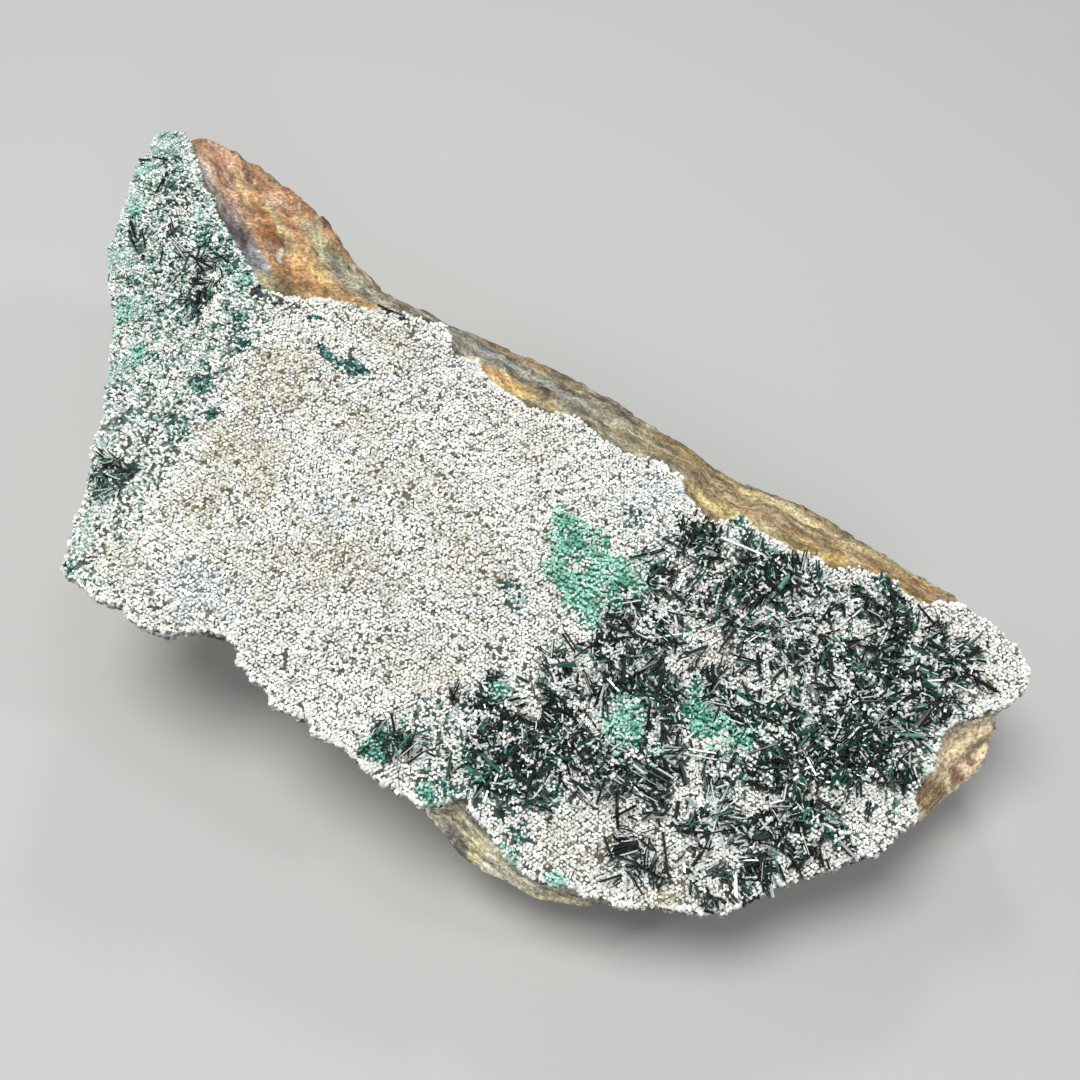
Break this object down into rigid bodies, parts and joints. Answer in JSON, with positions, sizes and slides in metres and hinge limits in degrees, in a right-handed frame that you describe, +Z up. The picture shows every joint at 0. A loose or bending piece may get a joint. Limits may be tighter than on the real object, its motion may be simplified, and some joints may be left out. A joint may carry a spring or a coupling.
{
  "type": "epidote mineral specimen",
  "caption": "Wedge-shaped rock with a sparkling grey-white crystal crust on its tilted upper face and dark green prismatic crystal clusters at one end; rests on a flat base.",
  "frame": {"origin": "middle of the specimen's box in plan, on the plane of its flat base", "axes": "+X along the length, from the high apex towards the low tip; +Y from the low front edge towards the high rear edge; +Z up"},
  "size_m": [0.1724, 0.0842, 0.0529],
  "materials": {
    "foliated_rock": "rough, broken",
    "quartz_druse": "fine sparkling grains",
    "epidote_crystal": "vitreous"
  },
  "bodies": {
    "root": {"matrix_rock": "foliated_rock", "druse_crust": "quartz_druse", "epidote_field": "epidote_crystal", "epidote_spray_south": "epidote_crystal", "epidote_tuft_front": "epidote_crystal", "epidote_patch_apex": "epidote_crystal", "epidote_patch_left": "epidote_crystal"}
  },
  "joints": []
}
